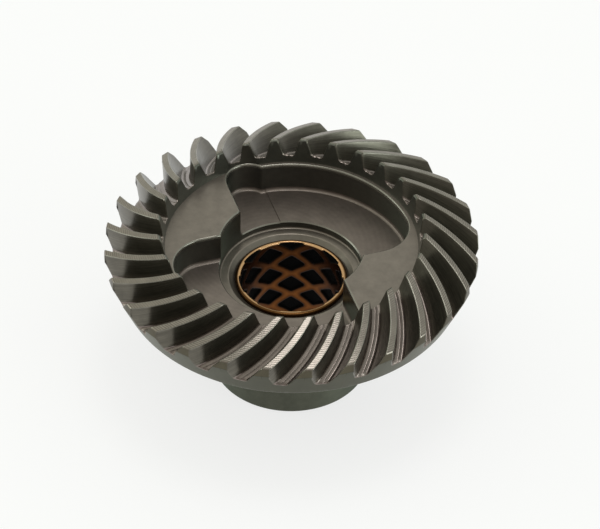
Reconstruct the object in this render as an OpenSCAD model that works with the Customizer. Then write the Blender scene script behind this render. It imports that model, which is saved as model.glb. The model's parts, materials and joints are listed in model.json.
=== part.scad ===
// Spiral bevel gear with two clutch lugs in its face and a bronze bush pressed into its bore.
// Z is the gear's axis. The hub's end face stands on z = 0 and the teeth face up.

/* [Teeth] */
// Number of teeth
tooth_count = 28; // [22:1:30]
// Radius of the tooth tips at the heel, their outer end
heel_tip_r = 52.7; // [50:0.1:58]
// Height of the heel tips above the hub's end face
heel_tip_z = 45; // [40:0.5:60]
// Height of the turned band below the heel tips
heel_band = 2.8; // [2:0.1:3.5]
// How much wider the band's lower edge is than the heel tips, in radius
heel_flare = 0.1; // [0:0.05:0.4]
// Radius of the tooth tips at the toe, their inner end, before the chamfer
toe_tip_r = 37.2; // [36.5:0.1:41]
// Rise of the toe tips over the heel tips, before the chamfer
toe_rise = 6.55; // [5:0.05:8]
// Chamfer on the toe tips
toe_chamfer = 0.7; // [0.3:0.05:1]
// Drop from tip to root at the heel, along the axis
heel_drop = 7.4; // [6:0.1:8.5]
// Drop from tip to root at the toe, along the axis
toe_drop = 5.4; // [4.5:0.1:6]
// Lean of the toe faces from the axis, in degrees
toe_lean = 11.8; // [10:0.1:16]
// Turn of the first tooth space round the axis, in degrees
first_space = 6.3; // [0:0.1:12.8]

/* [Cutter head] */
// Spiral angle at the middle of the teeth, in degrees
spiral_angle = 37.8; // [30:0.1:42]
// Radius of the face-mill head that cuts one tooth space at a time
cutter_r = 44.45; // [40:0.05:60]
// Width of a tooth space at its root
point_w = 2.4; // [1.6:0.05:2.6]
// Slant of the outer blades, which cut the hollow flanks, in degrees
outer_blade = 12.5; // [8:0.1:15]
// Slant of the inner blades, which cut the crowned flanks, in degrees
inner_blade = 21.5; // [16:0.1:23]
// Radius of the fillets along the root
root_fillet = 0.6; // [0.2:0.05:0.8]

/* [Rim and back] */
// Drop of the rim's lower edge below the heel tips
rim_drop = 12.4; // [10.5:0.1:15]
// How far the rim's lower edge lies inside the heel tips
rim_inset = 4.2; // [2:0.1:6]
// Drop of the bearing shoulder below the rim's lower edge
back_drop = 10.6; // [6:0.1:14]
// Radius of the bearing shoulder
shoulder_r = 29; // [26:0.1:34]
// Fillet where the hub meets the shoulder
seat_fillet = 1; // [0.4:0.1:2]

/* [Hub] */
// Radius of the hub, the seat of the bearing
hub_r = 22.225; // [20:0.025:24.5]
// Chamfer at the hub's end
hub_chamfer = 0.8; // [0.2:0.1:1.5]

/* [Clutch recess] */
// Drop of the lug tops and of the ledge below the heel tips
lug_drop = 0.8; // [0:0.1:2]
// Height of the lugs above the recess floor
lug_h = 9.2; // [6:0.1:10]
// Width of the ledge between the toe faces and the recess
ledge_w = 1.3; // [0.6:0.1:2.5]
// Offset of every lug flank from the axis
flank_offset = 9.5; // [8:0.1:11]
// Turn of the lugs round the axis, in degrees
lug_turn = 108; // [0:1:180]
// Radius of the corner between a lug's plain flank and the recess wall
corner_r = 10.5; // [6:0.1:12]
// Radius of the end mill that finishes a lug's drive flank
mill_r = 6.35; // [4:0.05:8]
// How far the end mill runs past the recess wall
mill_overrun = 2.5; // [0.5:0.1:3]
// How much wider the end mill's pocket opens above the ledge, where it trims the toe faces
mill_relief = 0.55; // [0.2:0.05:0.9]
// How far the end mill's pass lies below the recess floor
mill_step = 0.2; // [0.05:0.05:0.5]

/* [Bore] */
// Radius of the counterbore, which also trims the lugs
counterbore_r = 20.3; // [19:0.1:22]
// Depth of the counterbore below the recess floor
counterbore_depth = 2.4; // [1:0.1:4]
// Width of the lead-in round the bush
lead_w = 1.9; // [0.8:0.1:2.2]
// Depth of the lead-in round the bush
lead_depth = 1.5; // [0.8:0.1:2.5]
// Chamfer at the hub end of the bore
bore_chamfer = 0.6; // [0.2:0.1:1.2]

/* [Bush] */
// Radius of the bush's running bore
bush_bore_r = 14.2875; // [13:0.0125:15]
// Wall of the bush
bush_wall = 1.5875; // [1.3:0.0125:2]
// How far the bush's top lies below the counterbore's floor
bush_sink = 0.35; // [0:0.05:1]
// How far the bush stops short of the hub's end face
bush_end = 4; // [0:0.1:6]
// Chamfers at the bush's ends
bush_chamfer = 0.35; // [0.1:0.05:0.6]
// Number of grease pockets in one row round the bush
pocket_count = 7; // [5:1:8]
// Width of a pocket round the bush
pocket_w = 7.7; // [4:0.1:8]
// Height of a pocket along the bush
pocket_h = 5.4; // [3:0.1:5.6]
// Depth of a pocket
pocket_depth = 0.5; // [0.2:0.05:0.8]
// Distance from one row of pockets to the next, half a turn of the pattern
row_pitch = 3.925; // [3.6:0.025:5]

/* [Hidden] */
$fn = 96;
// Room by which a cut passes the faces that it opens
pass = 1;
// Room by which the cutter's blades pass the tooth tips, so that they clear the next space
blade_pass = 0.4;
// Flat steps round one root fillet
fillet_steps = 2;

// Tooth tips and roots, each as [radius, height]
toe_slope = tan(toe_lean);
toe_tip_z = heel_tip_z + toe_rise;
heel_tip = [heel_tip_r, heel_tip_z];
toe_tip = [toe_tip_r, toe_tip_z];
heel_root = heel_tip - heel_drop * [rim_inset / rim_drop, 1];
toe_root = toe_tip - toe_drop * [toe_slope, 1];
root_middle = (heel_root + toe_root) / 2;
root_slope = atan2(toe_root.y - heel_root.y, heel_root.x - toe_root.x);

// Corners of the band under the heel tips and of the chamfer on the toe tips
band_foot = heel_tip + [heel_flare, -heel_band];
toe_crest = toe_tip + toe_chamfer * (heel_tip - toe_tip) / norm(heel_tip - toe_tip);
toe_brow = toe_tip - toe_chamfer * [toe_slope, 1] / norm([toe_slope, 1]);

// The cutter reaches from the root to just over the tips, and past both ends of the teeth
blade_h = (heel_tip - heel_root) * [sin(root_slope), cos(root_slope)] + blade_pass;
reach = norm(heel_root - toe_root) / 2 + blade_h / 2;
half_sweep = reach / cos(spiral_angle) / cutter_r * 180 / PI;

// Levels and radii of the face, from the teeth inwards
lug_z = heel_tip_z - lug_drop;
floor_z = lug_z - lug_h;
ring_z = floor_z - counterbore_depth;
toe_foot_r = toe_tip_r - (toe_tip_z - lug_z) * toe_slope;
wall_r = toe_foot_r - ledge_w;
mill_centre_r = wall_r + mill_overrun - mill_r;
mill_side = flank_offset - mill_r;
mill_end = sqrt(mill_centre_r ^ 2 - mill_side ^ 2);
corner_centre = [flank_offset - corner_r, sqrt((wall_r - corner_r) ^ 2 - (flank_offset - corner_r) ^ 2)];

// The bush fills the bore from wall to wall
bore_r = bush_bore_r + bush_wall;
bush_top = ring_z - bush_sink;
pocket_rows = floor((bush_top - bush_end) / row_pitch);

// Levels of the back
rim_z = heel_tip_z - rim_drop;
shoulder_z = rim_z - back_drop;

// Half of the turned blank's section, with the bore and the counterbore in it
module blank_section() {
    polygon([
        [bore_r, bore_chamfer],
        [bore_r + bore_chamfer, 0],
        [hub_r - hub_chamfer, 0],
        [hub_r, hub_chamfer],
        [hub_r, shoulder_z],
        [shoulder_r, shoulder_z],
        [heel_tip_r - rim_inset, rim_z],
        band_foot,
        heel_tip,
        toe_crest,
        toe_brow,
        [toe_foot_r, lug_z],
        [counterbore_r, lug_z],
        [counterbore_r, ring_z],
        [bore_r + lead_w, ring_z],
        [bore_r, ring_z - lead_depth]
    ]);
    // Fillet between the bearing seat and its shoulder
    translate([hub_r, shoulder_z - seat_fillet])
        difference() {
            square(seat_fillet);
            translate([seat_fillet, 0]) circle(seat_fillet);
        }
}

// Points of a root fillet, turned from one angle to another about its centre
function fillet(centre, from, to) = [
    for (i = [0 : fillet_steps])
        let (a = from + (to - from) * i / fillet_steps)
            centre + root_fillet * [cos(a), sin(a)]
];

// Section of one tooth space, x outwards from the cutter's axis and y up from the root
module blade_section() {
    half = point_w / 2;
    outer_centre = [half - root_fillet * tan(45 - outer_blade / 2), root_fillet];
    inner_centre = [root_fillet * tan(45 - inner_blade / 2) - half, root_fillet];
    translate([cutter_r, 0])
        polygon(concat(
            fillet(outer_centre, -90, -outer_blade),
            [[half + blade_h * tan(outer_blade), blade_h]],
            [[-half - blade_h * tan(inner_blade), blade_h]],
            fillet(inner_centre, 180 + inner_blade, 270)
        ));
}

// The ring that the cutter's blades sweep, laid on the root line of the space at angle 0.
// Seen from the front, the spaces turn clockwise on their way out.
module tooth_space() {
    translate([root_middle.x, 0, root_middle.y])
        rotate([0, root_slope, 0])
            translate(cutter_r * [-sin(spiral_angle), -cos(spiral_angle), 0])
                rotate(90 - spiral_angle - half_sweep)
                    rotate_extrude(angle = 2 * half_sweep) blade_section();
}

// Plan of a lug: a square corner with the round corner of the recess beside its plain flank
module lug_plan() {
    translate([flank_offset, flank_offset]) square(wall_r);
    difference() {
        polygon([
            corner_centre,
            [flank_offset, corner_centre.y],
            [flank_offset, wall_r + pass],
            corner_centre * (wall_r + pass) / norm(corner_centre)
        ]);
        translate(corner_centre) circle(corner_r);
    }
}

// Plan of the recess, which leaves two lugs standing
module recess_plan() {
    difference() {
        circle(wall_r);
        for (half_turn = [0, 180]) rotate(lug_turn + half_turn) lug_plan();
    }
}

// Plan of the end mill's pass along a drive flank, with its round end in the wall
module mill_plan() {
    translate([0, mill_side - mill_r]) square([mill_end, 2 * mill_r]);
    translate([mill_end, mill_side]) circle(mill_r);
}

module gear() {
    color("#57564d")
        difference() {
            rotate_extrude() blank_section();
            for (i = [0 : tooth_count - 1])
                rotate(first_space + i * 360 / tooth_count) tooth_space();
            translate([0, 0, floor_z])
                linear_extrude(lug_h + pass) recess_plan();
            for (half_turn = [0, 180])
                rotate(lug_turn + half_turn) {
                    translate([0, 0, floor_z - mill_step])
                        linear_extrude(mill_step + lug_h + pass) mill_plan();
                    translate([mill_end, mill_side, lug_z])
                        cylinder(r = mill_r + mill_relief, h = toe_rise + pass);
                }
        }
}

// Half of the bush's section
module bush_section() {
    polygon([
        [bush_bore_r, bush_end + bush_chamfer],
        [bush_bore_r + bush_chamfer, bush_end],
        [bore_r - bush_chamfer, bush_end],
        [bore_r, bush_end + bush_chamfer],
        [bore_r, bush_top - bush_chamfer],
        [bore_r - bush_chamfer, bush_top],
        [bush_bore_r + bush_chamfer, bush_top],
        [bush_bore_r, bush_top - bush_chamfer]
    ]);
}

// One diamond-shaped prism that reaches out through the bush's bore
module pocket() {
    translate([bush_bore_r - bush_wall, 0, 0])
        rotate([90, 0, 90])
            linear_extrude(2 * bush_wall)
                polygon([[-pocket_w / 2, 0], [0, -pocket_h / 2], [pocket_w / 2, 0], [0, pocket_h / 2]]);
}

// Rows of pockets down from the bush's top, each row half a step round from the last
module pockets() {
    step = 360 / pocket_count;
    intersection() {
        cylinder(r = bush_bore_r + pocket_depth, h = bush_top + pocket_h);
        for (row = [0 : pocket_rows], column = [0 : pocket_count - 1])
            rotate(90 + (column + row / 2) * step)
                translate([0, 0, bush_top - row * row_pitch]) pocket();
    }
}

module bush() {
    color("#b5924f")
        difference() {
            rotate_extrude() bush_section();
            pockets();
        }
}

gear();
bush();
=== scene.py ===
# %% [markdown]
# # A spiral bevel gear with clutch lugs and a bronze bush
# The real gear is one piece of case-hardened steel: its blank is turned on a lathe, its curved tooth
# spaces are cut by a face-mill head, and the recess in its face is milled so that two clutch lugs stay.
# A bronze bush with diamond grease pockets is pressed into its bore. The CAD solids give the frame;
# this lesson rebuilds both pieces with the fine edges, fillets and tool marks that catch the light.

# %% Load the frame
import json
import math
import bmesh
import bpy
import numpy as np
from mathutils import Matrix, Vector


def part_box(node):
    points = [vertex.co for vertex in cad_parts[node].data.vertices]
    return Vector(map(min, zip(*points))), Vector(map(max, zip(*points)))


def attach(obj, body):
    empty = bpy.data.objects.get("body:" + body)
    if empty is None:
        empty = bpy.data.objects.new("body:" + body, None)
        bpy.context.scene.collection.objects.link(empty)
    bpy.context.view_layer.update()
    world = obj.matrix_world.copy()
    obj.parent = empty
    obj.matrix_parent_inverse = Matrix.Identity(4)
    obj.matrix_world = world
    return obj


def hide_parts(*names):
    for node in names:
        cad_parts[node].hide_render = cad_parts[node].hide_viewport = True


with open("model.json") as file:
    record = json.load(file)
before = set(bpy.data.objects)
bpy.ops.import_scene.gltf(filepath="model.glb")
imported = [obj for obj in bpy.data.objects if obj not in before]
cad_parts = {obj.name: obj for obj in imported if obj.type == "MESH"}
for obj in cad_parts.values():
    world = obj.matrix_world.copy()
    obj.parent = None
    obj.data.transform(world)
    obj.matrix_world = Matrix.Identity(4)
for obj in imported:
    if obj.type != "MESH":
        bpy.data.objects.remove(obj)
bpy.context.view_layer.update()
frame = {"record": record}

MM = 0.001
scene = bpy.context.scene
mounts = {mount["name"]: mount for mount in frame["record"]["mounts"]}

# %% [markdown]
# # Sheets of faces
# A machined part is easiest to build as a set of sheets, each with one finish, that share their border
# points: a grid of rows for what is swept or turned, and a bridge of triangles between two lines for flat
# faces. Blender's modifiers could round the edges too, but a bevel on 28 curved teeth leaves uneven
# corners, so each small edge radius gets rows of its own. Every sheet also carries millimetre
# coordinates for the tool marks. Welding the borders at the end gives one closed mesh.

# %% Sheet builders
sheets = []


def add_sheet(points, faces, marks, finishes):
    """Keeps a sheet's points and faces, its millimetre coordinates and a finish for each face."""
    sheets.append((np.asarray(points, float), faces, np.asarray(marks, float), finishes))


def run_length(points):
    """Distance along a line of points, from its start."""
    steps = np.linalg.norm(np.diff(points, axis=0), axis=1)
    return np.concatenate([[0], np.cumsum(steps)])


def grid(rows, finish, closed=True):
    """Quads between neighbouring rows. finish is one name, or one name for each column of faces."""
    rows = np.array(rows, float)
    if closed:
        rows = np.concatenate([rows, rows[:, :1]], axis=1)
    down, across = rows.shape[:2]
    index = np.arange(down * across).reshape(down, across)
    quads = np.stack([index[:-1, :-1], index[:-1, 1:], index[1:, 1:], index[1:, :-1]], axis=-1)
    names = [finish] * (across - 1) if isinstance(finish, str) else list(finish)
    side = run_length(rows[down // 2])
    deep = run_length(rows[:, across // 2])
    marks = np.stack(np.meshgrid(side, deep), axis=-1)
    add_sheet(rows.reshape(-1, 3), quads.reshape(-1, 4).tolist(), marks.reshape(-1, 2), names * (down - 1))


def bridge(outer, inner, finish, closed=True):
    """Triangles between two lines of points that run the same way round the axis."""
    lines = [np.array(line, float) for line in (outer, inner)]
    if closed:
        lines = [np.concatenate([line, line[:1]]) for line in lines]
    angles = [np.unwrap(np.arctan2(line[:, 1], line[:, 0])) for line in lines]
    way = np.sign(angles[0][-1] - angles[0][0])
    turns = np.round((angles[0].mean() - angles[1].mean()) / (2 * math.pi))
    angles[1] = angles[1] + turns * 2 * math.pi
    count = len(lines[0])
    faces = []
    i = j = 0
    while i < count - 1 or j < len(lines[1]) - 1:
        last_i = i == count - 1
        last_j = j == len(lines[1]) - 1
        if last_j or (not last_i and way * angles[0][i + 1] <= way * angles[1][j + 1]):
            faces.append([i, i + 1, count + j])
            i += 1
        else:
            faces.append([i, count + j + 1, count + j])
            j += 1
    points = np.concatenate(lines)
    add_sheet(points, faces, points[:, :2], [finish] * len(faces))


print("Sheet builders are ready")

# %% [markdown]
# # The teeth's driving sizes
# These are the blank, the cutter head and the recess of the CAD part, in millimetres. They could be
# measured on the solids, but named sizes are exact. Pairs are (radius, height). The heel is the outer end
# of the teeth, with a narrow turned band under the tips, and the toe the inner end, with chamfered tips.

# %% Sizes of the teeth and the recess
TOOTH_COUNT = 28
PITCH = 2 * math.pi / TOOTH_COUNT
FIRST_SPACE = math.radians(6.3)
SPACE_TURNS = FIRST_SPACE + PITCH * np.arange(TOOTH_COUNT)[:, None]
HEEL_TIP = np.array([52.7, 45.0])
HEEL_DROP = 7.4
BAND_FOOT = HEEL_TIP + np.array([0.1, -2.8])
RIM_INSET = 4.2
RIM_DROP = 12.4
TOE_TIP = np.array([37.2, 51.55])
TOE_DROP = 5.4
TOE_SLOPE = math.tan(math.radians(11.8))
TOE_CHAMFER = 0.7
SPIRAL = math.radians(37.8)
CUTTER_R = 44.45
POINT_HALF = 1.2
OUTER_BLADE = math.radians(12.5)
INNER_BLADE = math.radians(21.5)
ROOT_FILLET = 0.6
LUG_Z = HEEL_TIP[1] - 0.8
LEDGE_W = 1.3
FLANK_OFFSET = 9.5
LUG_TURN = math.radians(108)
MILL_R = 6.35
MILL_OVERRUN = 2.5
MILL_RELIEF = 0.55
# Fine sizes that only the light shows: broken edges, and the ridge between the two blades' paths
EDGE = 0.22
RIDGE_H = 0.09
RIDGE_HALF = 0.2

RIM = HEEL_TIP - np.array([RIM_INSET, RIM_DROP])
HEEL_ROOT = HEEL_TIP - HEEL_DROP * np.array([RIM_INSET / RIM_DROP, 1])
TOE_ROOT = TOE_TIP - TOE_DROP * np.array([TOE_SLOPE, 1])
ROOT_MIDDLE = (HEEL_ROOT + TOE_ROOT) / 2
ROOT_SLOPE = math.atan2(TOE_ROOT[1] - HEEL_ROOT[1], HEEL_ROOT[0] - TOE_ROOT[0])
FACE_SLOPE = (TOE_TIP[1] - HEEL_TIP[1]) / (HEEL_TIP[0] - TOE_TIP[0])
TOE_CREST = TOE_TIP + TOE_CHAMFER * np.array([1, -FACE_SLOPE]) / math.hypot(1, FACE_SLOPE)
TOE_BROW = TOE_TIP - TOE_CHAMFER * np.array([TOE_SLOPE, 1]) / math.hypot(1, TOE_SLOPE)
TOE_FOOT_R = TOE_TIP[0] - (TOE_TIP[1] - LUG_Z) * TOE_SLOPE
WALL_R = TOE_FOOT_R - LEDGE_W
MILL_SIDE = FLANK_OFFSET - MILL_R
MILL_END = math.sqrt((WALL_R + MILL_OVERRUN - MILL_R) ** 2 - MILL_SIDE ** 2)
print(f"{TOOTH_COUNT} teeth, root slope {math.degrees(ROOT_SLOPE):.1f} degrees,",
      f"toe foot at {TOE_FOOT_R:.2f} mm")

# %% [markdown]
# # Cross-sections of the teeth
# A tooth is built from rows on cross-sections, which are lines turned about the axis. Between the ends a
# straight line is enough; the ends themselves follow the turned heel and the chamfered toe. The end
# mill that cut the recess also trimmed two places of the toe faces upright, and that relief is part of the
# toe's cross-section. A flat cutting plane would be simpler, but the real ends are turned.

# %% Lines turned about the axis
# Above the tips the end lines go on upright
UPRIGHT = np.array([0, 3.0])


def relief_radius(angle):
    """Radius to which the end mill trims the toe faces at an angle, or 0 where it doesn't reach."""
    way = LUG_TURN + math.atan2(MILL_SIDE, MILL_END)
    off = (angle - way + math.pi / 2) % math.pi - math.pi / 2
    distance = math.hypot(MILL_END, MILL_SIDE)
    inside = (MILL_R + MILL_RELIEF) ** 2 - (distance * np.sin(off)) ** 2
    return np.where(inside > 0, distance * np.cos(off) + np.sqrt(np.maximum(inside, 0)), 0)


class Section:
    """A line of (radius, height) corners from low to high, turned about the axis and shifted by depth."""

    def __init__(self, corners, depth=0.0, trimmed=False):
        self.corners = np.array(corners)
        self.lengths = run_length(self.corners)
        self.depth = depth
        self.trimmed = trimmed

    def radius(self, height, angle):
        plain = np.interp(height, self.corners[:, 1], self.corners[:, 0])
        return self.depth + (np.maximum(plain, relief_radius(angle)) if self.trimmed else plain)

    def climb(self, height):
        return np.interp(height, self.corners[:, 1], self.lengths)

    def height(self, climb):
        return np.interp(climb, self.lengths, self.corners[:, 1])


def straight(u):
    """Cross-section at share u of the way from the toe to the heel."""
    foot = TOE_ROOT + u * (HEEL_ROOT - TOE_ROOT)
    tip = TOE_TIP + u * (HEEL_TIP - TOE_TIP)
    return Section([2 * foot - tip, 2 * tip - foot])


def heel_end(depth):
    """Cross-section at the turned heel, moved into the steel by that depth."""
    return Section([RIM, BAND_FOOT, HEEL_TIP, HEEL_TIP + UPRIGHT], -depth)


def toe_end(depth):
    """Cross-section at the chamfered toe, moved into the steel by that depth."""
    foot = np.array([TOE_FOOT_R, LUG_Z])
    return Section([foot, TOE_BROW, TOE_CREST, TOE_CREST + UPRIGHT], depth, trimmed=True)


relief = relief_radius(np.radians(np.arange(360)))
past_foot = int((relief > TOE_FOOT_R).sum())
print(f"The relief reaches {relief.max():.2f} mm, past the toe foot over {past_foot} degrees")

# %% [markdown]
# # Points that the cutter sweeps
# A face-mill head cuts a space with a ring of blades, so each flank is part of a cone about the cutter's
# axis. A tooth could be lofted between two drawn profiles, but then its flanks would not have the
# cutter's curve. Here each point of the blade's section is turned about the cutter's axis until it lies on
# the wanted cross-section, which halving an interval finds to well under a micrometre.

# %% Meet the cutter's path with a cross-section
TURN_REACH = 0.6
LOWEST_TOP = 0.8
TOP_REACH = 12
HALVINGS = 40


def swept(x, y, turn):
    """Radius, height and angle on the gear of a blade point, with the head turned by that angle."""
    out = (CUTTER_R + x) * np.cos(turn) - CUTTER_R * math.sin(SPIRAL)
    side = (CUTTER_R + x) * np.sin(turn) - CUTTER_R * math.cos(SPIRAL)
    east = ROOT_MIDDLE[0] + math.cos(ROOT_SLOPE) * out + math.sin(ROOT_SLOPE) * y
    height = ROOT_MIDDLE[1] - math.sin(ROOT_SLOPE) * out + math.cos(ROOT_SLOPE) * y
    return np.hypot(east, side), height, np.arctan2(side, east)


def on_section(x, y, section):
    """Angle, height and radius where blade points meet a cross-section, one line for each space."""
    x, y = np.broadcast_arrays(x, y + 0 * SPACE_TURNS)
    low = np.full(x.shape, math.pi / 2 - SPIRAL - TURN_REACH)
    high = low + 2 * TURN_REACH
    for _ in range(HALVINGS):
        turn = (low + high) / 2
        radius, height, angle = swept(x, y, turn)
        heelward = radius > section.radius(height, angle + SPACE_TURNS)
        low = np.where(heelward, turn, low)
        high = np.where(heelward, high, turn)
    return angle + SPACE_TURNS, height, radius


def wall_x(y, side):
    """Blade wall at height y: side 1 is the outer blade, -1 the inner one."""
    return side * (POINT_HALF + y * math.tan(OUTER_BLADE if side > 0 else INNER_BLADE))


def wall_reach(side, section, limit=None):
    """Blade height at which a wall meets a limit of height or else the face cone, for each space."""
    low = np.full((TOOTH_COUNT, 1), LOWEST_TOP)
    high = low + TOP_REACH
    for _ in range(HALVINGS):
        y = (low + high) / 2
        _, height, radius = on_section(wall_x(y, side), y, section)
        ceiling = HEEL_TIP[1] + FACE_SLOPE * (HEEL_TIP[0] - radius) if limit is None else limit
        low = np.where(height < ceiling, y, low)
        high = np.where(height < ceiling, high, y)
    return y


def crease_depths(section, crease):
    """Blade heights from the crease in an end's line up to the tooth's edge, on both walls."""
    return [wall_reach(side, section) - wall_reach(side, section, crease) for side in (-1, 1)]


toe_creases = crease_depths(toe_end(0), TOE_BROW[1])
heel_creases = crease_depths(heel_end(0), BAND_FOOT[1])
print("Toe crease below the edge:", round(toe_creases[0].mean(), 2), "mm")

# %% [markdown]
# # Tooth rows
# One row runs once round the gear: for every tooth it goes down a flank, round the root, up the next flank
# and over the land, with the sharp edges broken by a small curve. At both ends of the teeth the rows draw
# in by the same amount, so the end edges are broken too. One point of each flank follows the crease of
# the ends, so the toe's chamfer and the heel's band keep their corners.

# %% Rows of points round all the teeth
FLANK_STEPS = 7
FILLET_STEPS = 4
LAND_STEPS = 4
RIDGE_X = RIDGE_HALF * np.array([-1, -0.5, 0, 0.5, 1])
RIDGE_Y = RIDGE_H * np.array([0, 0.6, 1, 0.6, 0])
FULL_TURN = np.array([2 * math.pi, 0])


def fillet_points(side):
    """Points round a root fillet in the blade's section, from the inner wall towards the outer one."""
    blade = OUTER_BLADE if side > 0 else INNER_BLADE
    start, end = (-math.pi / 2, -blade) if side > 0 else (math.pi + blade, 1.5 * math.pi)
    turns = np.linspace(start, end, FILLET_STEPS + 1)
    centre_x = side * (POINT_HALF - ROOT_FILLET * math.tan(math.pi / 4 - blade / 2))
    return centre_x + ROOT_FILLET * np.cos(turns), ROOT_FILLET + ROOT_FILLET * np.sin(turns)


def flank_levels(top, crease, foot):
    """Blade heights down a flank: just under its edge, at the crease, then evenly down to the fillet."""
    lower = np.linspace((top - crease)[:, 0], foot, FLANK_STEPS, axis=-1)
    return np.concatenate([top - EDGE, lower[:, :-1]], axis=1)


def broken_edge(start, corner, end):
    """Two points of the small curve that replaces a sharp corner."""
    return [(1 - t) ** 2 * start + 2 * t * (1 - t) * corner + t * t * end for t in (1 / 3, 2 / 3)]


def next_space(points):
    """The same points of the next tooth space, for each space."""
    return np.concatenate([points[1:], points[:1] + FULL_TURN])


def drawn_in(row, section, amount):
    """A row moved into the steel by that amount, along its own cross-section."""
    scale = section.radius(row[:, 1], row[:, 0]).mean()
    flat = np.stack([row[:, 0] * scale, section.climb(row[:, 1])], axis=1)
    ahead = np.concatenate([flat[1:], flat[:1] + FULL_TURN * scale])
    behind = np.concatenate([flat[-1:] - FULL_TURN * scale, flat[:-1]])
    along = (ahead - behind) / np.linalg.norm(ahead - behind, axis=1, keepdims=True)
    flat = flat + amount * np.stack([along[:, 1], -along[:, 0]], axis=1)
    # Where a corner is tighter than the amount, the row must not run back on itself
    steady = np.maximum.accumulate(flat[:, 0])
    return np.stack([steady / scale, section.height(flat[:, 1])], axis=1)


def tooth_row(section, creases, amount=0.0):
    """(angle, height) pairs of one row round the gear, drawn into the steel by that amount."""
    inner_top, outer_top = (wall_reach(side, section) for side in (-1, 1))
    inner_x, inner_y = fillet_points(-1)
    outer_x, outer_y = fillet_points(1)
    down = flank_levels(inner_top, creases[0], inner_y[0])
    up = flank_levels(outer_top, creases[1], outer_y[-1])[:, ::-1]
    each = np.ones((TOOTH_COUNT, 1))
    bottom_x = each * np.concatenate([inner_x, RIDGE_X, outer_x])
    bottom_y = each * np.concatenate([inner_y, RIDGE_Y, outer_y])
    x = np.concatenate([wall_x(down, -1), bottom_x, wall_x(up, 1)], axis=1)
    y = np.concatenate([down, bottom_y, up], axis=1)
    space = np.stack(on_section(x, y, section)[:2], axis=-1)
    first = np.stack(on_section(wall_x(outer_top, 1), outer_top, section)[:2], axis=-1)
    last = next_space(np.stack(on_section(wall_x(inner_top, -1), inner_top, section)[:2], axis=-1))
    edge = np.array([EDGE / section.radius(first[..., 1], first[..., 0]).mean(), 0])
    land = (first + edge) + np.linspace(0, 1, LAND_STEPS + 1)[:, None] * (last - first - 2 * edge)
    rise = broken_edge(space[:, -1:], first, first + edge)
    fall = broken_edge(last - edge, last, next_space(space[:, :1]))
    row = np.concatenate([space, *rise, land, *fall], axis=1).reshape(-1, 2)
    return drawn_in(row, section, amount) if amount else row


print("Points in one root:", 2 * (FILLET_STEPS + 1) + len(RIDGE_X))

# %% [markdown]
# # Teeth from toe to heel
# Three rows close together at each end make its broken edge, and twenty rows lie between. Fewer rows would
# make a lighter mesh, but the hollow flanks would then show flats in their reflections.

# %% Teeth from toe to heel
END_SHARES = (1, 0.3, 0)
BETWEEN = np.linspace(0.12, 0.97, 20)


def ring(angles, radius, height):
    """Points in space at these angles."""
    angles = np.asarray(angles)
    return np.stack([radius * np.cos(angles), radius * np.sin(angles), height + 0 * angles], axis=1)


stations = [(toe_end(EDGE * (1 - share)), toe_creases, EDGE * share) for share in END_SHARES]
for u in BETWEEN:
    creases = [toe + u * (heel - toe) for toe, heel in zip(toe_creases, heel_creases)]
    stations.append((straight(u), creases, 0.0))
for share in reversed(END_SHARES):
    stations.append((heel_end(EDGE * (1 - share)), heel_creases, EDGE * share))
tooth_rows = [tooth_row(*station) for station in stations]
tooth_points = []
for row, station in zip(tooth_rows, stations):
    tooth_points.append(ring(row[:, 0], station[0].radius(row[:, 1], row[:, 0]), row[:, 1]))
flank_run = ["flank"] * FLANK_STEPS
root_run = ["root"] * (2 * FILLET_STEPS + len(RIDGE_X) + 1)
# A broken edge has two points of its own, so it is three faces wide
edge_run = ["broken_edge"] * 3
land_run = edge_run + ["land"] * LAND_STEPS + edge_run
grid(tooth_points, (flank_run + root_run + flank_run + land_run) * TOOTH_COUNT)
print("Points round one row:", len(tooth_rows[0]), "rows:", len(tooth_rows))

# %% [markdown]
# # The recess and its lugs
# The recess is milled round two lugs that stay standing. Each sector of it runs along a lug's drive
# flank, round the end mill's pocket in the wall, along the wall, and through a round corner back along the
# other lug's plain flank. All of these are lines and arcs, so one function gives the outline at any
# offset: a little outwards for the broken top edge, and step by step inwards for the fillet at the foot.

# %% Outline of the recess
FLOOR_Z = LUG_Z - 9.2
RING_Z = FLOOR_Z - 2.4
CORNER_R = 10.5
MILL_STEP = 0.2
COUNTERBORE_R = 20.3
CORNER_X = CORNER_R - FLANK_OFFSET
CORNER_Y = -math.sqrt((WALL_R - CORNER_R) ** 2 - CORNER_X ** 2)
SEAM_Y = MILL_SIDE - MILL_R
SEAM_W = 0.15
TOP_BREAK = 0.5
TOP_DROP = 0.85
FOOT_R = 1.0
# Points or steps along a lug's flank, the mill's pocket, the wall on both sides of the seam, the corner
FLANK_POINTS = 5
POCKET_STEPS = 18
FIRST_STEPS = 3
WALL_STEPS = 22
CORNER_STEPS = 14
BEFORE_SEAM = FLANK_POINTS + POCKET_STEPS + FIRST_STEPS


def arc(centre, radius, start, end, steps):
    """Points along an arc, in plan or in a turned section."""
    angles = np.linspace(start, end, steps + 1)
    return np.stack([centre[0] + radius * np.cos(angles), centre[1] + radius * np.sin(angles)], axis=1)


def meet_angle(distance, radius, other):
    """Angle at a circle's centre from the way to another circle's centre to where they meet."""
    return math.acos((distance ** 2 + radius ** 2 - other ** 2) / (2 * distance * radius))


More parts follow.
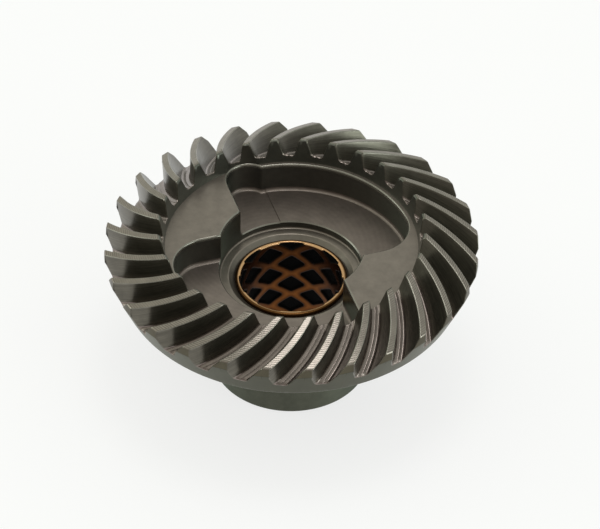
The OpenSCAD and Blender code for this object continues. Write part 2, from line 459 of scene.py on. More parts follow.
def sector_outline(offset, end_grow):
    """Outline of one sector at an inward offset, clockwise; its ends lie on the counterbore's edge."""
    flank = FLANK_OFFSET - offset
    end_x = math.sqrt((COUNTERBORE_R + end_grow) ** 2 - flank ** 2)
    mill_r = MILL_R - offset
    wall_r = WALL_R - offset
    mill_way = math.atan2(MILL_SIDE, MILL_END)
    mill_distance = math.hypot(MILL_END, MILL_SIDE)
    wall_start = mill_way - meet_angle(mill_distance, wall_r, mill_r)
    mill_stop = mill_way - math.pi + meet_angle(mill_distance, mill_r, wall_r)
    seam_turn = math.asin((SEAM_Y + SEAM_W) / wall_r), math.asin(SEAM_Y / wall_r)
    corner_way = math.atan2(CORNER_Y, CORNER_X)
    drive = np.linspace([end_x, flank], [MILL_END, flank], FLANK_POINTS)
    pocket = arc((MILL_END, MILL_SIDE), mill_r, math.pi / 2, mill_stop, POCKET_STEPS)[1:]
    first_wall = arc((0, 0), wall_r, wall_start, seam_turn[0], FIRST_STEPS)[1:]
    second_wall = arc((0, 0), wall_r, seam_turn[1], corner_way, WALL_STEPS)
    corner = arc((CORNER_X, CORNER_Y), CORNER_R - offset, corner_way, -math.pi, CORNER_STEPS)[1:]
    plain = np.linspace([-flank, CORNER_Y], [-flank, -end_x], FLANK_POINTS)[1:]
    return np.concatenate([drive, pocket, first_wall, second_wall, corner, plain])


sector = sector_outline(0, 0)
print("Recess outline:", len(sector), "points, wall radius", round(WALL_R, 2), "mm")

# %% [markdown]
# # Walls, floor and ledge
# The walls go down from the broken top edge to the fillet at the floor. The end mill's pass along the
# drive flank is a fifth of a millimetre deeper than the rest of the floor, which shows as a fine seam.
# The top edge keeps to the level of the ledge, also round the pocket, where the relief makes room for it.

# %% Rows of one sector
TOP_STEPS = 4
WALL_ROWS = 6
FOOT_STEPS = 4
MILL_POINTS = 14
FLOOR_POINTS = 40
COUNTERBORE_BREAK = 0.3
EDGE_R = COUNTERBORE_R + COUNTERBORE_BREAK


def turned(points, angle):
    """The points turned about the gear's axis."""
    spin = np.array([[math.cos(angle), math.sin(angle)], [-math.sin(angle), math.cos(angle)]])
    points = np.array(points, float)
    points[:, :2] = points[:, :2] @ spin
    return points


def lifted(plan, heights):
    """Points of a plan at these heights."""
    return np.column_stack([plan, np.broadcast_to(heights, len(plan))])


top_rows = []
for swing in np.linspace(0, math.pi / 2, TOP_STEPS + 1):
    offset = TOP_BREAK * (1 - math.sin(swing))
    top_rows.append(lifted(sector_outline(-offset, offset), LUG_Z - TOP_DROP * (1 - math.cos(swing))))
top_edge = top_rows[0]
wall_head = top_rows[-1]
floor_level = np.where(np.arange(len(sector)) < BEFORE_SEAM, FLOOR_Z - MILL_STEP, FLOOR_Z)
foot_rows = []
for step in range(FOOT_STEPS + 1):
    swing = math.pi / 2 * step / FOOT_STEPS
    plan = sector_outline(FOOT_R * (1 - math.cos(swing)), COUNTERBORE_BREAK * step / FOOT_STEPS)
    foot_rows.append(lifted(plan, floor_level + FOOT_R * (1 - math.sin(swing))))
wall_rows = [wall_head + t * (foot_rows[0] - wall_head) for t in np.linspace(0, 1, WALL_ROWS)]

# Counterbore edge below one sector's floor, with the fillet's ends at both sides
floor_edge = foot_rows[-1]
edge_angles = np.unwrap(np.arctan2(floor_edge[[0, -1], 1], floor_edge[[0, -1], 0]))
seam_angles = [math.asin((SEAM_Y + w) / EDGE_R) for w in (SEAM_W, 0)]
mill_turns = np.linspace(edge_angles[0], seam_angles[0], MILL_POINTS)
floor_turns = np.linspace(seam_angles[1], edge_angles[1], FLOOR_POINTS)
mill_edge = ring(mill_turns, EDGE_R, FLOOR_Z - MILL_STEP)
plain_edge = ring(floor_turns, EDGE_R, FLOOR_Z)
print("Rows of one sector:", len(top_rows) + len(wall_rows) + len(foot_rows))

# %% [markdown]
# # Both sectors and their lugs
# The recess is the same twice, half a turn apart. An array modifier could turn a copy, but each lug needs
# points of both sectors, so a loop places them. The counterbore's wall starts from the points kept here.

# %% Sheets of the recess
LUG_STEPS = 16


def lug_arc(end, start):
    """Heights and places on the counterbore's edge across a lug, between two sectors' ends."""
    angles = np.unwrap([math.atan2(end[1], end[0]), math.atan2(start[1], start[0])])
    radii = np.linspace(np.hypot(*end[:2]), np.hypot(*start[:2]), LUG_STEPS + 1)
    turns = np.linspace(angles[0], angles[1], LUG_STEPS + 1)
    heights = np.linspace(end[2], start[2], LUG_STEPS + 1)
    return np.stack([radii * np.cos(turns), radii * np.sin(turns), heights], axis=1)


crown = []
for half_turn in (0, math.pi):
    spin = LUG_TURN + half_turn
    next_spin = spin + math.pi
    grid([turned(row, spin) for row in top_rows], "broken_edge", closed=False)
    grid([turned(row, spin) for row in wall_rows], "recess_wall", closed=False)
    grid([turned(row, spin) for row in foot_rows], "recess_floor", closed=False)
    bridge(turned(floor_edge[:BEFORE_SEAM], spin), turned(mill_edge, spin), "recess_floor", closed=False)
    bridge(turned(floor_edge[BEFORE_SEAM:], spin), turned(plain_edge, spin), "recess_floor", closed=False)
    seam = [[floor_edge[BEFORE_SEAM - 1], mill_edge[-1]], [floor_edge[BEFORE_SEAM], plain_edge[0]]]
    grid([turned(line, spin) for line in seam], "recess_floor", closed=False)
    # The lug after this sector, on the counterbore's wall
    lug_rows = []
    for row in (*top_rows, *wall_rows[1:]):
        lug_rows.append(lug_arc(turned(row, spin)[-1], turned(row, next_spin)[0]))
    grid(lug_rows[:TOP_STEPS + 1], "broken_edge", closed=False)
    grid(lug_rows[TOP_STEPS:], "recess_wall", closed=False)
    start_side = [row[0] for row in foot_rows]
    end_side = [row[-1] for row in reversed(foot_rows)]
    sector_crown = np.concatenate([start_side, mill_edge[1:], plain_edge[:-1], end_side])
    crown.append(turned(sector_crown, spin))
    crown.append(lug_rows[-1][1:-1])
crown = np.concatenate(crown)
print("Points round the counterbore's edge:", len(crown))

# %% [markdown]
# # Toe faces, ledge and lug tops
# The toe faces drop from the tooth ends to the ledge. The ledge and the lug tops are one flat face, bridged
# from the foot of the toe cone to the recess's top edge. One n-gon would do too, but its long thin
# triangles could shade unevenly.

# %% Sheets between the teeth and the recess
top_loop = []
for half_turn in (0, math.pi):
    spin = LUG_TURN + half_turn
    edge = turned(top_edge, spin)
    top_loop += [edge, lug_arc(edge[-1], turned(top_edge, spin + math.pi)[0])[1:-1]]
top_loop = np.concatenate(top_loop)[::-1]


def start_near(loop, angle):
    """The loop, started at its first point past that angle."""
    past = (np.arctan2(loop[:, 1], loop[:, 0]) - angle) % (2 * math.pi)
    return np.roll(loop, -int(np.argmin(past)), axis=0)


def end_rows(row, section, levels):
    """Rows on an end's cross-section below a tooth row, each at its own heights."""
    return [ring(row[:, 0], section.radius(level, row[:, 0]), level) for level in levels]


CREASE = 0.06
ROW_GAP = 0.01
TRIM_MARGIN = 0.1
toe_angles, toe_heights = tooth_rows[0].T
upper = np.minimum(toe_heights - ROW_GAP, TOE_BROW[1] + CREASE)
lower = np.minimum(toe_heights - 2 * ROW_GAP, TOE_BROW[1] - CREASE)
# One row follows the edge between the turned toe face and the relief, where there is one
trim = (relief_radius(toe_angles) - TOE_FOOT_R) / TOE_SLOPE / (lower - LUG_Z)
crosses = (trim > TRIM_MARGIN) & (trim < 1 - TRIM_MARGIN)
middle = LUG_Z + np.where(crosses, trim, 0.5) * (lower - LUG_Z)
levels = [toe_heights, upper, lower, (lower + middle) / 2, middle, (middle + LUG_Z) / 2,
          LUG_Z + 0 * middle]
toe_face = end_rows(tooth_rows[0], toe_end(0), levels)
grid(toe_face, "toe_face")
top_loop = start_near(top_loop, toe_angles[0])
bridge(toe_face[-1], top_loop, "lug_top")
foot_r = np.hypot(toe_face[-1][:, 0], toe_face[-1][:, 1])
print("Toe foot radius from", round(foot_r.min(), 2), "to", round(foot_r.max(), 2), "mm")

# %% [markdown]
# # Heel faces, back and hub
# All of this is turned on the lathe. Blender's Screw modifier could turn a section too, but the heel has to
# meet the teeth point by point, so rings are placed at each corner of the section, with small extra rings
# at the broken edges. Below the rim fewer points go round, since nothing there has teeth.

# %% Sheets of the rim, the back and the hub
HUB_R = mounts["bearing_seat"]["dims"]["r_mm"]
BUSH_R = mounts["shaft_bore"]["dims"]["r_mm"]
BUSH_WALL = 1.5875
BORE_R = BUSH_R + BUSH_WALL
SHOULDER_R = 29.0
SHOULDER_Z = mounts["bearing_shoulder"]["pos_m"][2] / MM
SEAT_FILLET = 1.0
HUB_CHAMFER = 0.8
RIM_EDGE = 0.4
SHOULDER_EDGE = 0.5
HUB_EDGE = 0.25
END_EDGE = 0.2
BACK_START = 0.06
TURN_STEPS = 224
# Rows down the heel faces, the back and the hub, and steps round the fillet at the bearing seat
HEEL_ROWS = 5
BACK_ROWS = 6
HUB_ROWS = 8
SEAT_STEPS = 5


def line_corner(before, corner, after, size):
    """Points of the small curve that breaks the corner of a turned section."""
    before, corner, after = (np.array(p, float) for p in (before, corner, after))
    start = corner + size * (before - corner) / np.linalg.norm(before - corner)
    end = corner + size * (after - corner) / np.linalg.norm(after - corner)
    return [start, *broken_edge(start, corner, end), end]


def rings(section_points, angles):
    """One ring for each point of a turned section."""
    return [ring(angles, radius, height) for radius, height in section_points]


heel_row = tooth_rows[-1]
heel_heights = heel_row[:, 1]
rim_corner = line_corner(BAND_FOOT, RIM, (SHOULDER_R, SHOULDER_Z), RIM_EDGE)
upper = np.minimum(heel_heights - ROW_GAP, BAND_FOOT[1] + 2 * CREASE)
lower = np.minimum(heel_heights - 2 * ROW_GAP, BAND_FOOT[1] - 2 * CREASE)
levels = [heel_heights, upper, *np.linspace(lower, 0 * lower + rim_corner[0][1], HEEL_ROWS)]
heel_face = end_rows(heel_row, heel_end(0), levels)
grid(heel_face[:2], "heel_band")
grid(heel_face[1:], "rim")
grid(rings(rim_corner, heel_row[:, 0]), "rim")

turn_angles = heel_row[0, 0] + 2 * math.pi * np.arange(TURN_STEPS) / TURN_STEPS
back_start = rim_corner[-1] + BACK_START * (np.array([SHOULDER_R, SHOULDER_Z]) - rim_corner[-1])
bridge(ring(heel_row[:, 0], *rim_corner[-1]), ring(turn_angles, *back_start), "rim")
shoulder_corner = line_corner(back_start, (SHOULDER_R, SHOULDER_Z), (HUB_R, SHOULDER_Z), SHOULDER_EDGE)
back = np.linspace(back_start, shoulder_corner[0], BACK_ROWS)
seat_centre = (HUB_R + SEAT_FILLET, SHOULDER_Z - SEAT_FILLET)
seat = arc(seat_centre, SEAT_FILLET, math.pi / 2, math.pi, SEAT_STEPS)
hub_corner = line_corner((HUB_R, SHOULDER_Z), (HUB_R, HUB_CHAMFER), (HUB_R - HUB_CHAMFER, 0), HUB_EDGE)
hub_wall = np.linspace(seat[-1], hub_corner[0], HUB_ROWS)[1:]
hub_section = [*shoulder_corner, *seat, *hub_wall, *hub_corner[1:]]
end_corner = line_corner((HUB_R, HUB_CHAMFER), (HUB_R - HUB_CHAMFER, 0), (BORE_R, 0), END_EDGE)
grid(rings(back, turn_angles), "rim")
grid(rings([*hub_section, *end_corner], turn_angles), "hub")
print("Rings of the hub:", len(hub_section) + len(end_corner))

# %% [markdown]
# # Counterbore and bore
# These are turned too. Their rings take their angles from the recess's edge, so that no seam opens where
# the milled floor meets the turned wall.

# %% Sheets of the counterbore and the bore
BORE_CHAMFER = 0.6
BORE_HEAD = 24
BORE_RINGS = 4
LEAD_W = 1.9
LEAD_DEPTH = 1.5
WELL_FILLET = 0.5
RING_EDGE = 0.25
crown = start_near(crown[::-1], turn_angles[0])
crown_angles = np.arctan2(crown[:, 1], crown[:, 0])
lead_foot = (BORE_R, RING_Z - LEAD_DEPTH)
ring_edge = line_corner((COUNTERBORE_R, RING_Z), (BORE_R + LEAD_W, RING_Z), lead_foot, RING_EDGE)
well_centre = (COUNTERBORE_R - WELL_FILLET, RING_Z + WELL_FILLET)
well_fillet = arc(well_centre, WELL_FILLET, 0, -math.pi / 2, FILLET_STEPS)
crown_foot = np.where(crown[:, 2] < FLOOR_Z + ROW_GAP, crown[:, 2] - COUNTERBORE_BREAK, crown[:, 2])
well_head = ring(crown_angles, COUNTERBORE_R, crown_foot)
grid([crown, well_head], "broken_edge")
well_foot = ring(crown_angles, *well_fillet[0])
grid([well_head, well_foot], "recess_wall")
grid(rings([*well_fillet, *ring_edge], crown_angles), "ring_face")
grid(rings([ring_edge[-1], lead_foot], crown_angles), "lead_in")
bore_wall = np.linspace((BORE_R, BORE_HEAD), (BORE_R, BORE_CHAMFER), BORE_RINGS)
grid(rings([lead_foot, *bore_wall, (BORE_R + BORE_CHAMFER, 0)], crown_angles), "hub")
end_face = ring(turn_angles, *end_corner[-1])
bridge(end_face, ring(crown_angles, BORE_R + BORE_CHAMFER, 0), "hub")
print("Sheets of the gear:", len(sheets))

# %% [markdown]
# # From sheets to a mesh
# Each sheet's faces go into one bmesh with their finish as the material number and their millimetre
# coordinates as a UV map. Points that two sheets share are welded, which closes the mesh, and normals
# weighted by face area keep the flat faces flat beside their narrow broken edges.

# %% Weld the gear
finish_names = ["flank", "root", "land", "toe_face", "heel_band", "rim", "hub", "lug_top",
                "broken_edge", "recess_wall", "recess_floor", "ring_face", "lead_in"]
GEAR_SHARP = math.radians(50)
BORDER_ANGLE = math.radians(12)
WELD_REACH = 0.002
FACE_WEIGHT = 60


def weld(name, parts, finishes, sharp):
    """One closed mesh object from sheets, sharp at steep edges and where a bend parts two finishes."""
    build = bmesh.new()
    uv = build.loops.layers.uv.new("tool_marks")
    for points, faces, marks, names in parts:
        corners = [build.verts.new(Vector(point) * MM) for point in points]
        for corner_ids, finish in zip(faces, names):
            face = build.faces.new([corners[i] for i in corner_ids])
            face.material_index = finishes.index(finish)
            face.smooth = True
            for loop, i in zip(face.loops, corner_ids):
                loop[uv].uv = marks[i]
    bmesh.ops.remove_doubles(build, verts=build.verts, dist=WELD_REACH * MM)
    bmesh.ops.dissolve_degenerate(build, edges=build.edges, dist=WELD_REACH / 2 * MM)
    bmesh.ops.recalc_face_normals(build, faces=build.faces)
    open_edges = sum(len(edge.link_faces) != 2 for edge in build.edges)
    for edge in build.edges:
        angle = edge.calc_face_angle(0)
        border = len({face.material_index for face in edge.link_faces}) > 1
        edge.smooth = angle < sharp and not (border and angle > BORDER_ANGLE)
    volume = build.calc_volume() / MM ** 3
    print(f"{name}: {len(build.faces)} faces, {open_edges} open edges, {volume / 1000:.2f} cm3")
    mesh = bpy.data.meshes.new(name)
    build.to_mesh(mesh)
    build.free()
    piece = bpy.data.objects.new(name, mesh)
    scene.collection.objects.link(piece)
    weighted = piece.modifiers.new("flat faces stay flat", "WEIGHTED_NORMAL")
    weighted.keep_sharp = True
    weighted.weight = FACE_WEIGHT
    return piece


gear = weld("bevel_gear", sheets, finish_names, GEAR_SHARP)
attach(gear, "root")
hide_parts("gear")

# %% [markdown]
# # The bronze bush
# The bush is rolled from a bronze strip that was pressed with diamond grease pockets. A Boolean would cut
# them with knife-sharp corners; here the bore is a fine grid whose points sink where they lie inside a
# diamond with rounded corners, so the pressed edges stay soft. Its ends are rounded lips that the cut
# pockets notch. Each point keeps its distance from the nearest pocket as an attribute, which darkens the
# pockets and the bronze around them.

# %% Bush with pressed pockets
BUSH_LOW, BUSH_HIGH = (corner[2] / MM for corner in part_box("bush"))
BUSH_CHAMFER = 0.35
POCKET_COUNT = 7
POCKET_W = 7.7
POCKET_H = 5.4
POCKET_DEPTH = 0.5
POCKET_ROUND = 0.45
POCKET_EDGE = 0.4
POCKET_POINTS = 50
ROW_PITCH = 3.925
BORE_ROWS = 92
LIP_STEPS = 8
NOTCH_FADE = 0.5
BUSH_SHARP = math.radians(40)


def pocket_distance(angle, height):
    """Distance from a point of the bore to the edge of the nearest pocket, less than zero inside it."""
    step = 2 * math.pi / POCKET_COUNT
    nearest = np.full(np.shape(angle), np.inf)
    reach_w = POCKET_W / 2 - POCKET_ROUND * math.hypot(POCKET_W, POCKET_H) / POCKET_H
    reach_h = POCKET_H / 2 - POCKET_ROUND * math.hypot(POCKET_W, POCKET_H) / POCKET_W
    slant = np.array([-reach_w, reach_h])
    rows = int((BUSH_HIGH - BUSH_LOW) / ROW_PITCH) + 1
    for row in range(rows + 1):
        turn = math.pi / 2 + row / 2 * step
        across = BUSH_R * np.abs((angle - turn + step / 2) % step - step / 2)
        along = np.abs(BUSH_HIGH - row * ROW_PITCH - height)
        t = np.clip(((across - reach_w) * slant[0] + along * slant[1]) / (slant @ slant), 0, 1)
        gap = np.hypot(across - reach_w - t * slant[0], along - t * slant[1])
        inside = across / reach_w + along / reach_h < 1
        nearest = np.minimum(nearest, np.where(inside, -gap, gap) - POCKET_ROUND)
    return nearest


bush_angles = np.linspace(0, 2 * math.pi, POCKET_COUNT * POCKET_POINTS, endpoint=False)


def bore_radius(height):
    """Radius of the bore at each angle of a row, larger where a pocket is pressed in."""
    sink = np.clip(0.5 - pocket_distance(bush_angles, height) / POCKET_EDGE, 0, 1)
    return BUSH_R + POCKET_DEPTH * sink * sink * (3 - 2 * sink)


def bush_lip(height, mouth, inward):
    """Rows from the bore over the rounded end to the outside, where the pockets notch the rim."""
    inner = bore_radius(height)
    rows = [mouth]
    for swing in np.linspace(0, math.pi, LIP_STEPS + 1)[1:]:
        lip = BUSH_R + (inner - BUSH_R) * (1 - NOTCH_FADE * math.sin(min(swing, math.pi / 2)))
        radius = lip + (BORE_R - lip) * (1 - math.cos(swing)) / 2
        rows.append(ring(bush_angles, radius, height + BUSH_CHAMFER * (1 - math.sin(swing)) * inward))
    return rows


# The gear is welded, so the list of sheets starts again for the bush
sheets.clear()
bore_heights = np.linspace(BUSH_HIGH - BUSH_CHAMFER, BUSH_LOW + BUSH_CHAMFER, BORE_ROWS)
bush_rows = [ring(bush_angles, bore_radius(height), height) for height in bore_heights]
grid(bush_rows, "bush_bore")
upper = bush_lip(BUSH_HIGH, bush_rows[0], -1)
lower = bush_lip(BUSH_LOW, bush_rows[-1], 1)
grid(upper, "bush_rim")
grid(lower, "bush_rim")
grid([upper[-1], lower[-1]], "bush_rim")
bush = weld("bronze_bush", sheets, ["bush_bore", "bush_rim"], BUSH_SHARP)
spots = np.array([vertex.co for vertex in bush.data.vertices]) / MM
distances = pocket_distance(np.arctan2(spots[:, 1], spots[:, 0]), spots[:, 2])
bush.data.attributes.new("pocket_distance", "FLOAT", "POINT").data.foreach_set("value", distances)
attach(bush, "root")
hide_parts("bush")

# %% [markdown]
# # Node helpers and colour
# Colours are written as the sRGB hex that a paint chip would show and turned to linear once. One small
# function adds a node with its settings and links, which keeps each material short.

# %% Colour and node helpers
def linear(hex_colour):
    """sRGB hex to a linear colour with full alpha."""
    channels = [int(hex_colour[i:i + 2], 16) / 255 for i in (1, 3, 5)]
    return [c / 12.92 if c <= 0.04045 else ((c + 0.055) / 1.055) ** 2.4 for c in channels] + [1.0]


def set_inputs(tree, node, **inputs):
    """Sets or links a node's sockets, by name or by number as _0; a node stands for its output."""
    for name, value in inputs.items():
        socket = node.inputs[int(name[1:]) if name[1:].isdigit() else name.replace("_", " ")]
        if isinstance(value, bpy.types.Node):
            value = next(output for output in value.outputs if output.enabled)
        if isinstance(value, bpy.types.NodeSocket):
            tree.links.new(value, socket)
        else:
            socket.default_value = value


def add(tree, kind, settings=None, **inputs):
    """A shader node with its settings and its inputs set or linked."""
    made = tree.nodes.new("ShaderNode" + kind)
    for name, value in (settings or {}).items():
        setattr(made, name, value)
    set_inputs(tree, made, **inputs)
    return made


def new_material(name):
    """A new material, its node tree and its shader."""
    material = bpy.data.materials.new(name)
    material.use_nodes = True
    tree = material.node_tree
    return material, tree, tree.nodes["Principled BSDF"]


RGBA = {"data_type": "RGBA"}
print("Middle grey in linear light:", round(linear("#808080")[0], 3))

# %% [markdown]
# # Steel
# All of the gear is one case-hardened steel. The furnace and oil leave a thin dark film on it, which
# scatters a fifth of the light and carries faint stains. What changes from zone to zone is how the surface
# was made. On the rim and the hub there is also a darker base that is painted shade, and on the hub and the
# recess wall a green painted reflection at grazing angles. Painted images could show that, but nodes stay
# sharp up close: each finish is a metallic shader with a dark base, a roughness and tool marks, along a
# sheet or as rings about the tool's axis.

# %% Steel shader
METAL_SHARE = 0.8
STAIN_SIZE = 4.0
STAIN_DEPTH = 0.15


def tool_marks(tree, size, centre):
    """Height of fine marks: stretched along a sheet's U and V, or rings about a centre, in millimetres."""
    if centre is None:
        place = add(tree, "UVMap", {"uv_map": "tool_marks"})
        scaled = add(tree, "VectorMath", {"operation": "DIVIDE"}, _0=place, _1=(*size, 1))
        return add(tree, "TexNoise", {"noise_dimensions": "2D"},
                   Vector=scaled, Scale=1.0, Detail=3.0).outputs["Fac"]
    place = add(tree, "TexCoord")
    out = add(tree, "VectorMath", {"operation": "SUBTRACT"},
              _0=place.outputs["Object"], _1=(centre[0] * MM, centre[1] * MM, 0))
    flat = add(tree, "VectorMath", {"operation": "MULTIPLY"}, _0=out, _1=(1, 1, 0))
    radius = add(tree, "VectorMath", {"operation": "LENGTH"}, _0=flat)
    scaled = add(tree, "Math", {"operation": "DIVIDE"}, _0=radius, _1=size * MM)
    feed = add(tree, "CombineXYZ", X=scaled)
    # At scale 1 the wave repeats every pi / 10, so this scale makes one band for each feed step
    return add(tree, "TexWave", {"bands_direction": "X"}, Vector=feed,
               Scale=math.pi / 10, Distortion=1.5, Detail=2.0, Detail_Scale=2.0).outputs["Fac"]


def steel(name, base, roughness, size=None, depth=0.0, centre=None, tone=0.0, sheen_tint="#ffffff"):
    """Dark hardened steel. tone is how far the marks lighten and darken it; sheen_tint tints grazing
    reflections.
    """
    material, tree, shader = new_material(name)
    colour = linear(base)
    set_inputs(tree, shader, Metallic=METAL_SHARE, Roughness=roughness, Specular_Tint=linear(sheen_tint))
    shade = add(tree, "Mix", RGBA, _0=0.5, _6=colour, _7=colour)
    if size:
        marks = tool_marks(tree, size, centre)
        dark, pale = ([c * share for c in colour[:3]] + [1.0] for share in (1 - tone, 1 + tone))
        set_inputs(tree, shade, _0=marks, _6=dark, _7=pale)
        bump = add(tree, "Bump", Height=marks, Distance=depth * MM, Strength=1.0)
        set_inputs(tree, shader, Normal=bump)
    # Faint stains of old oil, some millimetres across with a fine grain in them
    spot = add(tree, "TexCoord")
    stain = add(tree, "TexNoise", Vector=spot.outputs["Object"], Scale=1 / (STAIN_SIZE * MM),
                Detail=6.0, Roughness=0.7)
    light = add(tree, "MapRange", Value=stain.outputs["Fac"], From_Min=0.3, From_Max=0.7,
                To_Min=1 - STAIN_DEPTH, To_Max=1 + STAIN_DEPTH)
    stained = add(tree, "VectorMath", {"operation": "SCALE"}, _0=shade, Scale=light)
    set_inputs(tree, shader, Base_Color=stained)
    return material


print("Oil stains are about", STAIN_SIZE, "mm across")

# %% [markdown]
# # A finish for each zone
# A pair of sizes is the width and length of marks along a sheet, a single size the step between rings.
# Real lapping and grinding marks are some hundredths of a millimetre wide and a lathe's feed is about a
# tenth. That is too fine for the picture, so all marks are drawn coarser, as far as they need to show.

# %% Steel by zone
# A green tint on grazing reflections: a painted reflection of pale green light at the sides
PAINTED_GREEN_SHEEN = "#ecfff8"
OLIVE_FILM = "#f9fbf3"
AXIS = (0, 0)
MILL_AXIS = (-6, 9)
finishes = {
    # Lapping draws fine dark and pale streaks along the flanks
    "flank": steel("lapped_hardened_steel", "#635f56", 0.28, (0.35, 14), 0.012, tone=0.5),
    # The blades' tips leave bright lines along the root
    "root": steel("milled_root_steel", "#807570", 0.24, (0.16, 12), 0.008, tone=0.4),
    # The turned face cone has clear feed rings, which flash where they mirror a lamp
    "land": steel("turned_land_steel", "#807871", 0.2, 0.55, 0.009, AXIS, tone=0.3),
    # The toe faces and the heel's band are turned fine, which gives a satin sheen
    "toe_face": steel("turned_toe_steel", "#61615a", 0.3),
    "heel_band": steel("turned_band_steel", "#534e40", 0.34, (30, 0.5), 0.006),
    # The rim's cone is painted darker than the rest of the steel. This is painted shade for the shadowed
    # floor under the gear, which the cone mirrors. Its grazing reflections keep a faint olive tint.
    "rim": steel("turned_rim_steel_painted_shade", "#353326", 0.34, (30, 0.5), 0.006, sheen_tint=OLIVE_FILM),
    # Grinding makes the hub matt. Its darker base is painted shade for the shaded floor that it mirrors,
    # and the green at its edges is a painted reflection of green light.
    "hub": steel("ground_hub_steel_painted_shade_and_sheen", "#5a5b50", 0.45, (30, 0.4), 0.004, sheen_tint=PAINTED_GREEN_SHEEN),
    # Facing leaves the lug tops even and satin
    "lug_top": steel("faced_lug_steel", "#7d746d", 0.38, 0.4, 0.003, AXIS),
    # Broken edges are bare and smooth, so they catch the light as thin pale lines
    "broken_edge": steel("broken_edge_steel", "#86827a", 0.24),
    # The end mill's side leaves a smooth dark wall. The green tint of its grazing reflections is a painted
    # reflection.
    "recess_wall": steel("milled_wall_steel", "#575550", 0.3, sheen_tint=PAINTED_GREEN_SHEEN),
    # Its end leaves faint wide arcs on the floor, about a point beside the axis
    "recess_floor": steel("milled_floor_steel", "#7c716b", 0.36, 1.6, 0.0006, MILL_AXIS, tone=0.03),
    # The ring face and the lead-in are turned, with fine rings and a soft sheen
    "ring_face": steel("turned_ring_steel", "#7c736b", 0.32, 0.35, 0.004, AXIS),
    "lead_in": steel("turned_lead_in_steel", "#706961", 0.32),
}
# The hub was ground round and round, which draws its reflections out along the axis
tree = finishes["hub"].node_tree
around = add(tree, "Tangent", {"direction_type": "RADIAL", "axis": "Z"})
set_inputs(tree, tree.nodes["Principled BSDF"], Tangent=around,
           Anisotropic=0.85, Anisotropic_Rotation=0.25)
for zone in finish_names:
    gear.data.materials.append(finishes[zone])
print("Steel finishes:", len(gear.data.materials))

# %% [markdown]
# # Bronze
# Rolled bearing bronze is golden where the rim is bare. It is browner in the bore, partly where oil has
# stained it and partly as painted shade for the deep bore, and darker still near the pockets. Inside the
# pressed pockets it is matt and close to black. A painted image could show that, but the distance that the
# mesh carries makes these tones follow the pressed edges by themselves.

# %% Bronze with greased pockets
POCKET_DARK_EDGE = (0.05, 0.5)
STAIN_AND_SHADE_EDGE = (0.1, 1.9)
LIP_EDGE = ((BORE_R - 0.95) * MM, (BORE_R - 0.55) * MM)
# Rolled bronze has a warm soft sheen. Its brown is partly dried oil and partly painted shade, and inside
# the pockets it is matt and near black.
bore_bronze, tree, shader = new_material("rolled_bronze_stain_and_painted_shade")
from_edge = add(tree, "Attribute", {"attribute_name": "pocket_distance"}).outputs["Fac"]
bare = add(tree, "MapRange", Value=from_edge, From_Min=POCKET_DARK_EDGE[0], From_Max=POCKET_DARK_EDGE[1])
# Darker towards the pockets: partly oil stain, partly painted shade where the bars' rounded edges fall into
# the pockets
clear_of_stain_and_shade = add(tree, "MapRange", Value=from_edge, From_Min=STAIN_AND_SHADE_EDGE[0], From_Max=STAIN_AND_SHADE_EDGE[1])
stained = add(tree, "Mix", RGBA, _0=clear_of_stain_and_shade, _6=linear("#3c2311"), _7=linear("#7d4c24"))
pocket_dark = add(tree, "Math", {"operation": "SUBTRACT"}, _0=1.0, _1=bare)
colour = add(tree, "Mix", RGBA, _0=pocket_dark, _6=stained, _7=linear("#080707"))
rough = add(tree, "MapRange", Value=pocket_dark, To_Min=0.34, To_Max=0.8)
gloss = add(tree, "MapRange", Value=pocket_dark, To_Min=0.5, To_Max=0.12)
set_inputs(tree, shader, Base_Color=colour, Metallic=bare, Roughness=rough, Specular_IOR_Level=gloss)

# Bare bronze shines golden on the rounded lip, with dried oil where the lip meets the steel
rim_bronze, tree, shader = new_material("bare_bronze_rim")
place = add(tree, "TexCoord")
flat = add(tree, "VectorMath", {"operation": "MULTIPLY"}, _0=place.outputs["Object"], _1=(1, 1, 0))
radius = add(tree, "VectorMath", {"operation": "LENGTH"}, _0=flat)
stain = add(tree, "MapRange", Value=radius, From_Min=LIP_EDGE[0], From_Max=LIP_EDGE[1])
colour = add(tree, "Mix", RGBA, _0=stain, _6=linear("#c79d74"), _7=linear("#54381e"))
set_inputs(tree, shader, Base_Color=colour, Metallic=1.0, Roughness=0.24)
bush.data.materials.append(bore_bronze)
bush.data.materials.append(rim_bronze)
print("Bronze finishes:", [m.name for m in bush.data.materials])

# %% [markdown]
# # Floor
# The gear stands on a matt white floor. More light would keep it white, but would wash out the steel. So
# Light Path gives part of the white as plain brightness to the eye and to what mirrors the floor, and the
# rest takes the gear's soft shadow.

# %% White floor that keeps a soft shadow
FLOOR_HALF = 4.0
FLOOR_GLOW = 0.75
floor_mesh = bpy.data.meshes.new("studio_floor")
corners = [(x * FLOOR_HALF, y * FLOOR_HALF, 0) for x, y in ((-1, -1), (1, -1), (1, 1), (-1, 1))]
floor_mesh.from_pydata(corners, [], [(0, 1, 2, 3)])
floor = bpy.data.objects.new("studio_floor", floor_mesh)
scene.collection.objects.link(floor)
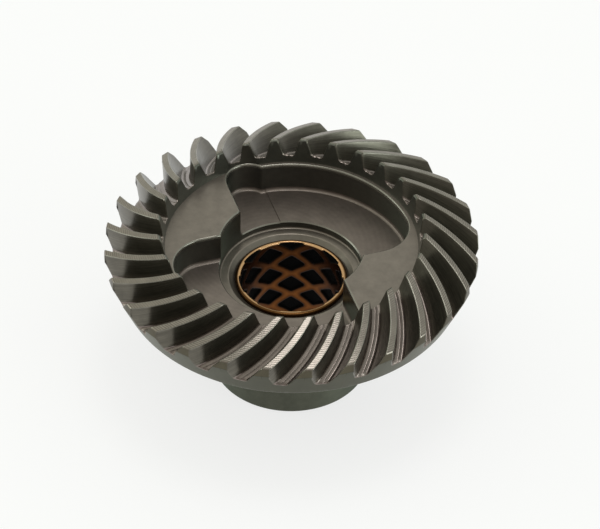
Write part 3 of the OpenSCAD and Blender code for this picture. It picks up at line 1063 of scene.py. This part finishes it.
# Matt paint looks the same from every side
floor_paint, tree, shader = new_material("matt_white_floor")
set_inputs(tree, shader, Base_Color=linear("#fafafa"), Roughness=0.9, Specular_IOR_Level=0.0)
path = add(tree, "LightPath")
seen = add(tree, "Math", {"operation": "MAXIMUM"},
           _0=path.outputs["Is Camera Ray"], _1=path.outputs["Is Glossy Ray"])
seen = add(tree, "Math", {"operation": "MAXIMUM"}, _0=seen, _1=path.outputs["Is Transmission Ray"])
share = add(tree, "Math", {"operation": "MULTIPLY"}, _0=seen, _1=FLOOR_GLOW)
glow = add(tree, "Emission", Color=(1, 1, 1, 1), Strength=1.0)
mixed = add(tree, "MixShader", _0=share, _1=shader, _2=glow)
set_inputs(tree, tree.nodes["Material Output"], Surface=mixed)
floor.data.materials.append(floor_paint)
print("Floor is", 2 * FLOOR_HALF, "m wide")

# %% [markdown]
# # Light
# The studio is pale all round, a little darker and greener on the right, and open and darker at the front.
# Steel mostly shows what is around it, so these tones shape the teeth. One large lamp would leave the
# flanks flat, so there are three softboxes: one overhead for the lands, and a low one on each side.

# %% World and softboxes
OPEN_SIDE = (-0.2, -0.97, 0.1)
AIM_AT = Vector((0, 0, 0.04))
PALE_GREEN = "#f2fff8"
world = bpy.data.worlds.new("pale_studio")
scene.world = world
world.use_nodes = True
tree = world.node_tree
way = add(tree, "TexCoord")
parts = add(tree, "SeparateXYZ", Vector=way.outputs["Generated"])
rightness = add(tree, "MapRange", Value=parts.outputs["X"], From_Min=-0.8, From_Max=0.8)
studio = add(tree, "Mix", RGBA, _0=rightness, _6=linear("#f0f4e4"), _7=linear("#dfe6df"))
forward = add(tree, "VectorMath", {"operation": "DOT_PRODUCT"}, _0=way.outputs["Generated"], _1=OPEN_SIDE)
openness = add(tree, "MapRange", {"interpolation_type": "SMOOTHSTEP"},
               Value=forward, From_Min=0.25, From_Max=0.95)
walls = add(tree, "Mix", RGBA, _0=openness, _6=studio, _7=linear("#a39e96"))
set_inputs(tree, tree.nodes["Background"], Color=walls, Strength=1.0)


def softbox(name, place, size, power, tint="#ffffff"):
    """A square area lamp that faces the middle of the gear."""
    lamp = bpy.data.lights.new(name, "AREA")
    lamp.color = linear(tint)[:3]
    lamp.shape = "SQUARE"
    lamp.size = size
    lamp.energy = power
    made = bpy.data.objects.new(name, lamp)
    made.location = place
    made.rotation_euler = (AIM_AT - Vector(place)).to_track_quat("-Z", "Y").to_euler()
    scene.collection.objects.link(made)


softbox("overhead_softbox", (0.05, 0.06, 1.04), 0.34, 1.5)
softbox("right_softbox", (1.194, -0.635, 0.38), 0.66, 4.0, PALE_GREEN)
softbox("left_softbox", (-1.302, 0.277, 0.47), 0.6, 1.8, PALE_GREEN)

# %% [markdown]
# # Camera
# A short lens close by would make the near teeth look larger. This one is long and stands well back, so
# the view has almost no perspective.

# %% Camera
VIEW_WIDTH_PX = 600
VIEW_HEIGHT_PX = 529
FOCAL_PX = 5436.2
DISTANCE = 1.529
ELEVATION = math.radians(41.7478)
ROLL = math.radians(-0.7084)
# Where the middle of the heel-tip circle falls in the picture
AIM_PX = (291.63, 242.755)
middle = Vector((0, 0, HEEL_TIP[1] * MM))
back = Vector((0, -math.cos(ELEVATION), math.sin(ELEVATION)))
right = Vector((1, 0, 0))
up = back.cross(right)
tilted_right = right * math.cos(ROLL) - up * math.sin(ROLL)
tilted_up = right * math.sin(ROLL) + up * math.cos(ROLL)
camera_data = bpy.data.cameras.new("studio_camera")
camera_data.sensor_width = 36
camera_data.lens = FOCAL_PX / VIEW_WIDTH_PX * camera_data.sensor_width
camera = bpy.data.objects.new("studio_camera", camera_data)
camera.location = middle + back * DISTANCE
shift = Vector(((VIEW_WIDTH_PX / 2 - AIM_PX[0]) / FOCAL_PX, (AIM_PX[1] - VIEW_HEIGHT_PX / 2) / FOCAL_PX))
aim = -back + tilted_right * shift.x + tilted_up * shift.y
z_axis = -aim.normalized()
x_axis = tilted_up.cross(z_axis).normalized()
y_axis = z_axis.cross(x_axis)
camera.rotation_euler = Matrix((x_axis, y_axis, z_axis)).transposed().to_euler()
scene.collection.objects.link(camera)
scene.camera = camera
scene.view_settings.view_transform = "Standard"
print("Lens in mm:", round(camera_data.lens, 1))
